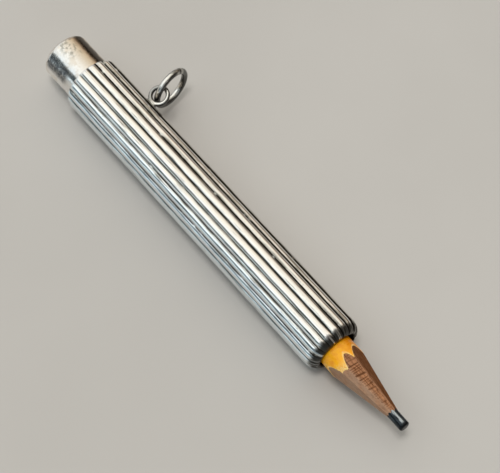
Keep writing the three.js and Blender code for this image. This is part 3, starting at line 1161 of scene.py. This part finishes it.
@dataclass
class Eyelet:
    """The wire eyelet that stands in a groove on its solder.

    Attributes:
        axis: the holder's axis
        place: length along the holder of its middle
        angle: where it stands round the holder, in degrees
        bottom: radius at which its wire begins
        hole: radius of its hole
        wire: thickness of its wire
        foot_length: length of the solder
        foot_bottom: radius at which the solder begins
        foot_outline: half of the solder's section: places across the groove and radii
        voxel: grain at which wire and solder melt together
        steps: points round the loop
        sides: points round the wire
    """

    axis: Axis
    place: float = 12.9
    angle: float = 18.0
    bottom: float = 6.15
    hole: float = 1.4
    wire: float = 0.9
    foot_length: float = 2.6
    foot_bottom: float = 5.90
    foot_outline: Outline = ((0.19, 6.08), (0.60, 6.25), (0.62, 6.40), (0.50, 6.60), (0.42, 6.90))
    voxel: float = 0.075
    steps: int = 72
    sides: int = 24

    def to_row(self, points: np.ndarray) -> np.ndarray:
        """Puts the eyelet's own points in the row frame.

        Args:
            points: places along the holder, out from the groove and across it, in millimetres

        Returns:
            the same points in metres
        """
        turn = math.radians(self.angle)
        out = np.array([0, math.cos(turn), math.sin(turn)])
        across = np.array([0, -math.sin(turn), math.cos(turn)])
        local = points @ np.stack([np.array([1.0, 0, 0]), out, across])
        return self.axis.place(local + np.array([self.place, 0, 0]))

    def hoop(self) -> Piece:
        """The round wire loop.

        Returns:
            the new object
        """
        half = self.wire / 2
        turns, wires = round_about(self.steps)[:, None], round_about(self.sides)[None, :]
        reach = self.hole + half + half * np.cos(wires)
        centre = self.bottom + self.hole + self.wire
        aside = half * np.sin(wires) + 0 * turns
        points = [reach * np.cos(turns), centre + reach * np.sin(turns), aside]
        return skin("eyelet_hoop", self.to_row(np.stack(points, axis=-1)), Ends.JOINED)

    def foot(self) -> Piece:
        """The mound of solder that fills the groove under the loop.

        Returns:
            the new object
        """
        mirrored = [(-width, radius) for width, radius in self.foot_outline[::-1]]
        outline = np.array([(0.0, self.foot_bottom), *self.foot_outline, *mirrored])
        rings = []
        for share in np.linspace(-1, 1, 17):
            fall = math.sqrt(max(0.02, 1 - abs(share) ** 3))
            width = outline[:, 0] * (0.35 + 0.65 * fall)
            height = self.foot_bottom + (outline[:, 1] - self.foot_bottom) * (0.25 + 0.75 * fall)
            x = np.full(len(outline), share * self.foot_length / 2)
            rings.append(np.stack([x, height, width], axis=-1))
        return skin("eyelet_foot", self.to_row(np.stack(rings)), Ends.CAPPED)

    def build(self) -> Piece:
        """Melts the loop and its foot into one piece.

        Returns:
            the new object
        """
        hoop, foot = self.hoop(), self.foot()
        union = hoop.modifiers.new("join", "BOOLEAN")
        union.operation = "UNION"
        union.solver = "EXACT"
        union.object = foot
        melt = hoop.modifiers.new("melt", "REMESH")
        melt.mode = "VOXEL"
        melt.voxel_size = self.voxel * MM
        soft = hoop.modifiers.new("soft", "SMOOTH")
        soft.factor = 0.5
        soft.iterations = 4
        bpy.context.view_layer.update()
        graph = bpy.context.evaluated_depsgraph_get()
        mesh = bpy.data.meshes.new_from_object(hoop.evaluated_get(graph))
        mesh.polygons.foreach_set("use_smooth", np.ones(len(mesh.polygons), bool))
        for part in (hoop, foot):
            bpy.data.objects.remove(part)
        return placed("wire_eyelet", mesh)

    def dress(self, silver: Material) -> None:
        """Builds the eyelet in its finish."""
        Dress("holder", "dark_silver", ("eyelet",)).on(self.build(), silver)


@dataclass
class JumpRing:
    """The ring of nearly round wire that hangs askew in the eyelet.

    Attributes:
        axis: the holder's axis
        eyelet: the eyelet that it hangs in
        hole: radius of its hole
        width: thickness of its wire in the ring's plane
        thickness: thickness of its wire across that plane
        aside: how far behind the eyelet's middle it hangs
        play: gap between it and the eyelet's outer wire
        clearance: gap between it and the eyelet's inner wire
        joint: where its ends meet, in degrees
        joint_gap: gap between its ends
        nipped: share by which its wire is thinner at the ends
        trim: how much thinner than its solid the wire is, on the outside of the ring
        slant: how far its far side leans to the back, in degrees
        twist: how far it is turned about the way that it hangs, in degrees
        steps: steps round the ring
        sides: points round the wire
    """

    axis: Axis
    eyelet: Eyelet
    hole: float = 3.55
    width: float = 1.32
    thickness: float = 1.36
    aside: float = 0.45
    play: float = 0.2
    clearance: float = 0.05
    joint: float = 54.0
    joint_gap: float = 0.1
    nipped: float = 0.07
    trim: float = 0.02
    slant: float = 5.7
    twist: float = -7.4
    steps: int = 220
    sides: int = 28

    def hang(self) -> tuple[np.ndarray, np.ndarray, float]:
        """How the ring hangs.

        Returns:
            the middle of the eyelet's outer wire, the way from it to the ring's middle, and
            the distance between them
        """
        eye = self.eyelet
        wire = eye.wire / 2
        reach = math.sqrt((eye.hole + wire) ** 2 - self.aside**2)
        outer = eye.bottom + eye.hole + eye.wire + reach
        to_outer = self.hole - wire - self.play
        to_inner = self.hole + self.width + wire + self.clearance
        bend = math.acos(((2 * reach) ** 2 + to_outer**2 - to_inner**2) / (4 * reach * to_outer))
        turn = math.radians(eye.angle)
        down = turn - (math.pi - bend)
        pivot = np.array([eye.place - self.aside, outer * math.cos(turn), outer * math.sin(turn)])
        return pivot, np.array([0, math.cos(down), math.sin(down)]), to_outer

    def build(self) -> Piece:
        """Makes the ring's mesh, its two ends butted.

        Returns:
            the new object
        """
        pivot, way, distance = self.hang()
        middle = self.hole + self.width / 2
        half = self.joint_gap / 2 / middle
        start = math.radians(self.joint) + half
        turns = np.linspace(start, start + FULL_TURN - 2 * half, self.steps + 1)[:, None]
        wires = round_about(self.sides)[None, :]
        count = np.arange(self.steps + 1)
        from_end = np.minimum(count, count[::-1])[:, None]
        slim = 1 - self.nipped * (from_end == 0)
        radius = middle - self.trim / 2 + (self.width - self.trim) / 2 * np.cos(wires) * slim
        flat = self.thickness / 2 * np.sin(wires) * slim
        ring = np.stack([flat + 0 * turns, radius * np.cos(turns), radius * np.sin(turns)], axis=-1)
        lean = Quaternion(np.cross([1.0, 0, 0], way).tolist(), math.radians(self.slant))
        turn = Quaternion(way.tolist(), math.radians(self.twist))
        askew = np.array((lean @ turn).to_matrix())
        hung = (ring + way * distance) @ askew.T + pivot
        butted = np.broadcast_to(np.exp(-((from_end - 5) / 4) ** 2), hung.shape[:2])
        return skin("oval_ring", self.axis.place(hung), Ends.CAPPED, {"butted": butted})

    def dress(self, silver: Material) -> None:
        """Builds the ring in its finish."""
        Dress("ring", "dark_silver", ("jump_ring",)).on(self.build(), silver)


@dataclass(frozen=True)
class KnifeCut:
    """One flat cut of the knife.

    Attributes:
        around: where it lies round the pencil, in degrees
        later: how much later than the first cut it starts, in millimetres
        chatter: depth of the marks that a skipping blade left across it
        hollow: how far the cut dips in its middle
        shallow: length of a flatter stretch that it starts with
    """

    around: float
    later: float
    chatter: float
    hollow: float
    shallow: float = 0.0


@dataclass
class WhittledPencil:
    """The round pencil: cedar whittled to a cone, a coat of lacquer and the lead.

    Attributes:
        axis: the holder's axis
        radius: radius over the lacquer
        coat: thickness of the lacquer
        glue: gap between the wood and what it is glued to
        lead_radius: radius of the lead
        butt: where the pencil begins
        cone_start: where the first knife cuts begin
        wood_end: where the wood ends
        tip: where the lead ends
        rounding: rounding of the lead's end
        rub: how far the lead's end is rubbed aslant
        lean: how far the pencil leans aside, in degrees
        pads: where along the holder it leans from
        seam: where the slats meet round the pencil, in degrees
        seam_width: half of the seam's width, in degrees
        seam_depth: depth of the seam
        tucked: how far the bare wood reaches under the lacquer
        steps: points in one turn
        cone_steps: steps along the cone
        chatter_pitch: distance between two marks of the skipping blade
        shallow_slope: slope of a cut's flatter stretch
        ridge: depth over which a ridge between two cuts is drawn paler
        tongue_end: how far the lacquer reaches at most
        cuts: the knife cuts
    """

    axis: Axis
    radius: float = 3.62
    coat: float = 0.04
    glue: float = 0.005
    lead_radius: float = 1.13
    butt: float = 40.8
    cone_start: float = 79.5
    wood_end: float = 93.8
    tip: float = 97.8
    rounding: float = 0.36
    rub: float = 0.16
    lean: float = 0.65
    pads: float = 55.0
    seam: float = 35.0
    seam_width: float = 0.9
    seam_depth: float = 0.025
    tucked: float = 0.4
    steps: int = 480
    cone_steps: int = 130
    chatter_pitch: float = 0.63
    shallow_slope: float = 0.09
    ridge: float = 0.035
    tongue_end: float = 82.75
    cuts: tuple[KnifeCut, ...] = (
        KnifeCut(49, 0.0, 0.004, 0.03),
        KnifeCut(94, 0.3, 0.034, 0.02, 3.0),
        KnifeCut(132, 2.9, 0.004, 0.02),
        KnifeCut(170, 0.0, 0.006, 0.02),
        KnifeCut(214, 0.6, 0.010, 0.02),
        KnifeCut(258, 0.2, 0.015, 0.03),
        KnifeCut(304, 0.9, 0.008, 0.02),
        KnifeCut(356, 0.1, 0.010, 0.02),
    )

    @cached_property
    def angles(self) -> np.ndarray:
        """Angles of the points round the pencil."""
        return round_about(self.steps)

    def place(self, points: np.ndarray) -> np.ndarray:
        """Leans the upright pencil as it sits, and puts it in the row frame.

        Args:
            points: points of the upright pencil, in millimetres

        Returns:
            the same points in metres
        """
        turn = math.radians(-self.lean)
        rotate = np.array([
            [math.cos(turn), -math.sin(turn), 0], [math.sin(turn), math.cos(turn), 0], [0, 0, 1],
        ])
        pads = np.array([self.pads, 0, 0])
        return self.axis.place((points - pads) @ rotate.T + pads)

    def course(self, cut: KnifeCut) -> tuple[float, float, float]:
        """The course of a knife cut along its middle.

        Args:
            cut: the knife cut

        Returns:
            where it starts, how deep its flatter stretch goes, and its slope after that
        """
        start = self.cone_start + cut.later
        drop = cut.shallow * self.shallow_slope
        slope = (self.radius - drop - self.lead_radius) / (self.wood_end - start - cut.shallow)
        return start, drop, slope

    def cut_at(self, cut: KnifeCut, radius: float) -> np.ndarray:
        """Where one cut's flat leaves a cylinder.

        Args:
            cut: the knife cut
            radius: the cylinder's radius

        Returns:
            for each angle, the place along the pencil
        """
        start, drop, slope = self.course(cut)
        depth = self.radius - radius * np.cos(self.angles - math.radians(cut.around))
        early = depth / self.shallow_slope
        late = cut.shallow + (depth - drop) / slope
        return start + np.where(depth < drop, early, late)

    def cut_edge(self, radius: float) -> np.ndarray:
        """Where the first of all the cuts leaves a cylinder of that radius, for each angle."""
        return np.min([self.cut_at(cut, radius) for cut in self.cuts], axis=0)

    def ragged(self, size: float, seed: int) -> np.ndarray:
        """A chipped edge's unevenness for each angle, in millimetres."""
        return size * Ripples(seed, 14, 1.0, 2.0, 90).at(0.0, self.angles)

    def sector(self, rise: tuple[float, float], fall: tuple[float, float]) -> np.ndarray:
        """For each angle, 1 between a soft rise and a soft fall in degrees, and 0 outside."""
        angle = np.degrees(self.angles)
        return smooth_step(angle, *rise) * (1 - smooth_step(angle, *fall))

    def paint_end(self) -> np.ndarray:
        """Where the lacquer's outside ends.

        Returns:
            for each angle, the place along the pencil
        """
        torn = self.sector((108, 120), (146, 156))
        edge = np.minimum(self.cut_edge(self.radius), self.tongue_end)
        return edge + self.ragged(0.03, 5) + torn * self.ragged(0.10, 6)

    def wood(self, along: np.ndarray) -> tuple[np.ndarray, np.ndarray, np.ndarray]:
        """The whittled wood's surface.

        Args:
            along: places along the pencil, one column for each angle

        Returns:
            its radii, how deep the knife's marks are and how near the ridges are, from 0 to 1
        """
        angle = self.angles[None, :]
        radius = np.full(along.shape, self.radius - self.coat - self.glue)
        second = radius + 1.0
        marks = np.zeros(along.shape)
        for i, cut in enumerate(self.cuts):
            start, drop, slope = self.course(cut)
            turn = angle - math.radians(cut.around)
            facing = np.cos(turn)
            gone = along - start
            late = drop + (gone - cut.shallow) * slope
            height = self.radius - np.where(gone < cut.shallow, gone * self.shallow_slope, late)
            aside = height * np.tan(np.clip(turn, -1.2, 1.2))
            inside = smooth_step(along, start + 0.3, start + 1.2)
            wobble = Ripples(40 + i, 8, 1.5, 6.0, 3).at(along, angle)
            mark = (along + 0.25 * np.sin(along * 2.1) + 0.12 * aside) / self.chatter_pitch
            skip = np.clip(np.sin(FULL_TURN * mark), -0.4, 1)
            skip = skip * np.clip(0.85 + 0.25 * wobble, 0.3, 1.2)
            dip = cut.hollow * (0.6 + 0.4 * wobble) * np.cos(np.clip(turn / 0.39, -1.57, 1.57))
            lowered = height - inside * (np.maximum(dip, 0) + cut.chatter * (skip + 0.4))
            flat = np.where(facing > 0.3, lowered / np.maximum(facing, 0.3), 99)
            nearer = flat < radius
            second = np.minimum(second, np.where(nearer, radius, flat))
            radius = np.where(nearer, flat, radius)
            strength = 1.15 - 0.5 * smooth_step(along, start + 5, start + 10)
            strength = strength * min(1.0, cut.chatter / 0.03)
            marks = np.where(nearer, np.clip(skip, 0, 1) * strength * inside, marks)
        return radius, marks, np.exp((radius - second) / self.ridge) * (second < self.radius - 0.06)

    def wood_piece(self) -> Piece:
        """The two glued slats as one whittled piece round the lead.

        Returns:
            the new object
        """
        start = self.paint_end() - self.tucked
        end = self.cut_edge(self.lead_radius) + self.ragged(0.06, 9)
        plain = [self.butt + (start - self.butt) * share for share in np.linspace(0, 1, 12)[:-1]]
        cone = [start + (end - start) * share for share in np.linspace(0, 1, self.cone_steps + 1)]
        along = np.stack([*plain, *cone])
        radius, marks, ridges = self.wood(along)
        angle = np.degrees(self.angles)
        seam = np.minimum(abs(angle - self.seam), abs(angle - self.seam - 180))
        radius = radius - self.seam_depth * (seam < self.seam_width)
        radius = np.maximum(radius, self.lead_radius + 0.01)
        rings = list(polar(along, radius, self.angles[None, :]))
        inner = self.lead_radius + self.glue
        rings += [polar(x, inner, self.angles) for x in (end - 0.02, self.butt)]
        bare = np.zeros((2, self.steps))
        shades = {"knife_mark": np.vstack([marks, bare]), "ridge": np.vstack([ridges, bare])}
        return skin("whittled_cedar", self.place(np.stack(rings)), Ends.JOINED, shades, sharp=30)

    def coat_piece(self) -> Piece:
        """The coat of lacquer, its front edge cut by the knife and a little ragged.

        Returns:
            the new object
        """
        end = self.paint_end()
        inner = self.radius - self.coat
        bevel = self.cut_edge(inner) - self.cut_edge(self.radius)
        shares = np.concatenate([np.linspace(0, 0.9, 14), np.linspace(0.9, 1, 60)[1:]])
        along = np.stack([self.butt + (end - self.butt) * share for share in shares])
        rings = [polar(x, self.radius, self.angles) for x in along[:-1]]
        rings.append(polar(along[-1], self.radius - 0.004, self.angles))
        rings += [polar(x, inner, self.angles) for x in (end + bevel * 0.8, self.butt)]
        bare = np.zeros((1, self.steps))
        cut = np.vstack([np.clip(1 - (end - along) / 0.7, 0, 1), bare + 1, bare])
        tongue = smooth_step(np.vstack([along, along[-1:]]), 80.4, 82.2)
        tongue = np.vstack([tongue * self.sector((92, 104), (140, 150)), bare])
        shades = {"cut_edge": cut, "tongue": tongue}
        return skin("lacquer_shell", self.place(np.stack(rings)), Ends.JOINED, shades)

    def lead_piece(self) -> Piece:
        """The lead, its end rubbed blunt and a little aslant.

        Returns:
            the new object
        """
        angle = self.angles[::4]
        corner = (self.tip - self.rounding, self.lead_radius - self.rounding)
        profile = [
            (self.butt, 0.6), (self.butt, self.lead_radius),
            *((x, self.lead_radius) for x in np.linspace(self.butt + 1, self.tip - 0.42, 24)),
            *arc(corner, (self.rounding, self.rounding), (90, 12), 8),
            (self.tip, 0.5),
        ]
        rings = []
        for x, radius in profile:
            near = max(0.0, 1 - (self.tip - x) / 0.8) * radius / self.lead_radius
            worn = self.rub * near * (0.5 + 0.5 * np.cos(angle - math.radians(95)))
            rings.append(polar(x - worn, radius, angle))
        return skin("blunt_lead", self.place(np.stack(rings)), Ends.CAPPED)

    def dress(self, cedar: Material, lacquer: Material, graphite: Material) -> None:
        """Builds the wood, the coat and the lead.

        Args:
            cedar: finish of the wood
            lacquer: finish of the coat
            graphite: finish of the lead
        """
        Dress("pencil", "cedar", ("upper_slat", "lower_slat")).on(self.wood_piece(), cedar)
        Dress("pencil", "lacquer", ("lacquer_coat",)).on(self.coat_piece(), lacquer)
        Dress("pencil", "graphite", ("lead",)).on(self.lead_piece(), graphite)


@dataclass
class Studio:
    """The pale table, the soft light and the camera.

    Attributes:
        lens: focal length of the camera
        sensor: width of its sensor
        target: the point that it looks at, from the sleeve's back rim
        distance: how far it is from there
        right: the way along the table that is level in the picture
        elevation: how steeply it looks down, in degrees
        table: width of the table, in metres
        front: how far ahead of the holder the light begins and ends to dim
        lamp_colour: colour of the lamp
        behind: colour of the light behind the holder
        tent: colours of the light round the holder, from +Y (0) over the top to -Y (1)
        gloom: the same for the dimmer light in front of the holder
    """

    lens: float = 122.4
    sensor: float = 36.0
    target: tuple[float, float, float] = (48.43, 2.63, 0.0)
    distance: float = 336.6
    right: tuple[float, float, float] = (0.6396, 0.7687, 0.0)
    elevation: float = 64.0
    table: float = 4.0
    front: tuple[float, float] = (0.02, 0.24)
    lamp_colour: Colour = (1.0, 0.97, 0.93)
    behind: Colour = (0.90, 0.92, 0.92)
    tent: Stops = (
        (0.0, (0.012, 0.010, 0.008)),
        (0.03, (0.04, 0.030, 0.022)),
        (0.10, (0.20, 0.15, 0.11)),
        (0.15, (0.66, 0.55, 0.43)),
        (0.21, (0.90, 0.83, 0.71)),
        (0.30, (0.95, 0.91, 0.81)),
        (0.45, (1.06, 1.03, 0.94)),
        (0.62, (1.09, 1.10, 1.05)),
        (0.74, (0.98, 1.05, 1.07)),
        (0.780, (0.92, 1.02, 1.06)),
        (0.795, (0.03, 0.045, 0.05)),
        (0.920, (0.03, 0.045, 0.05)),
        (0.935, (0.94, 1.08, 1.14)),
        (0.980, (0.80, 0.95, 1.01)),
        (1.0, (0.30, 0.36, 0.40)),
    )
    gloom: Stops = (
        (0.0, (0.05, 0.042, 0.035)),
        (0.12, (0.24, 0.21, 0.18)),
        (0.30, (0.26, 0.24, 0.21)),
        (0.45, (0.22, 0.21, 0.20)),
        (0.80, (0.26, 0.28, 0.29)),
        (0.88, (0.44, 0.50, 0.53)),
        (1.0, (0.28, 0.33, 0.36)),
    )

    def floor(self, material: Material) -> None:
        """Lays the table under the holder.

        Args:
            material: finish of the table
        """
        half = self.table / 2
        mesh = bpy.data.meshes.new("table_top")
        low = -0.01 * MM
        corners = [(-half, -half, low), (half, -half, low), (half, half, low), (-half, half, low)]
        mesh.from_pydata(corners, [], [(0, 1, 2, 3)])
        mesh.materials.append(material)
        placed("table_top", mesh)

    def sky(self) -> None:
        """Surrounds the scene with soft light: bright above and from one side, dim in front."""
        world = bpy.data.worlds.new("studio")
        bpy.context.scene.world = world
        world.use_nodes = True
        n = Nodes(world.node_tree)
        ahead, aside, up = n.parts(n.add("ShaderNodeTexCoord").outputs["Generated"])
        around = n.math("DEGREES", n.math("ARCTAN2", up, aside))
        share = n.math("DIVIDE", around, 180.0)
        back = n.times(n.step(ahead, -0.90, -0.55, 1, 0), n.step(up, 0.0, 0.12), 0.8)
        light = n.blend(back, n.ramp(share, self.tent), self.behind)
        light = n.blend(n.step(ahead, *self.front), light, n.ramp(share, self.gloom))
        n.add("ShaderNodeOutputWorld", n.add("ShaderNodeBackground", light, 1.0).outputs[0])

    def lamp(self, name: str, way: Vector, distance: float, size: float, power: float) -> None:
        """Hangs a soft square lamp that faces the holder and shows in no reflection.

        Args:
            name: its name
            way: direction from the holder to it
            distance: how far it is, in metres
            size: its width, in metres
            power: its power in watts
        """
        data = bpy.data.lights.new(name, "AREA")
        data.size = size
        data.energy = power
        data.color = self.lamp_colour
        light = placed(name, data)
        light.visible_glossy = False
        light.location = way.normalized() * distance
        light.rotation_mode = "QUATERNION"
        light.rotation_quaternion = way.to_track_quat("Z", "Y")

    def camera(self, axis: Axis) -> None:
        """Sets the camera where the photograph was taken from.

        Args:
            axis: the holder's axis
        """
        data = bpy.data.cameras.new("photograph")
        data.sensor_width = self.sensor
        data.lens = self.lens
        data.clip_start, data.clip_end = 0.01, 10.0
        camera = placed("photograph", data)
        right = Vector(self.right).normalized()
        ahead = Vector((-right.y, right.x, 0)).normalized()
        tilt = math.radians(self.elevation)
        forward = ahead * math.cos(tilt) - Vector((0, 0, 1)) * math.sin(tilt)
        target = Vector(axis.place(np.array(self.target)).tolist())
        axes = Matrix((right, right.cross(forward), -forward)).transposed().to_4x4()
        camera.matrix_world = Matrix.Translation(target - forward * self.distance * MM) @ axes
        bpy.context.scene.camera = camera

    def build(self, axis: Axis) -> None:
        """Sets up the table, the light and the camera.

        Args:
            axis: the holder's axis
        """
        self.floor(TableTop().material())
        self.sky()
        self.lamp("ceiling", Vector((0.06, -0.12, 0.99)), distance=1.2, size=0.32, power=6.0)
        self.camera(axis)
        bpy.context.scene.view_settings.view_transform = "Standard"
        LOG.info("table, light and camera are set")


def main() -> None:
    """Builds the holder, the ring and the pencil, and sets the table round them."""
    logging.basicConfig(level=logging.INFO, format="%(name)s: %(message)s")
    axis = Axis.of_frame()
    inner = SpringMetal(axis, "inner_silver", (0.80, 0.78, 0.74), (0.50, 0.47, 0.42)).material()
    spring = SpringMetal(axis, "spring_brass", (0.72, 0.55, 0.28), (0.42, 0.31, 0.16)).material()
    wire = DarkSilver(axis, "eyelet_silver", 12.9).material()
    ring = DarkSilver(axis, "ring_silver", 0.0).material()
    ReededSleeve(axis).dress(ReededSilver(axis).material(), inner)
    SlideTube(axis).dress(SatinSilver(axis).material(), inner, spring)
    eyelet = Eyelet(axis)
    eyelet.dress(wire)
    JumpRing(axis, eyelet).dress(ring)
    pencil = WhittledPencil(axis)
    pencil.dress(CutCedar(axis).material(), Lacquer(axis).material(), Graphite(axis).material())
    Studio().build(axis)


if __name__ == "__main__":
    main()
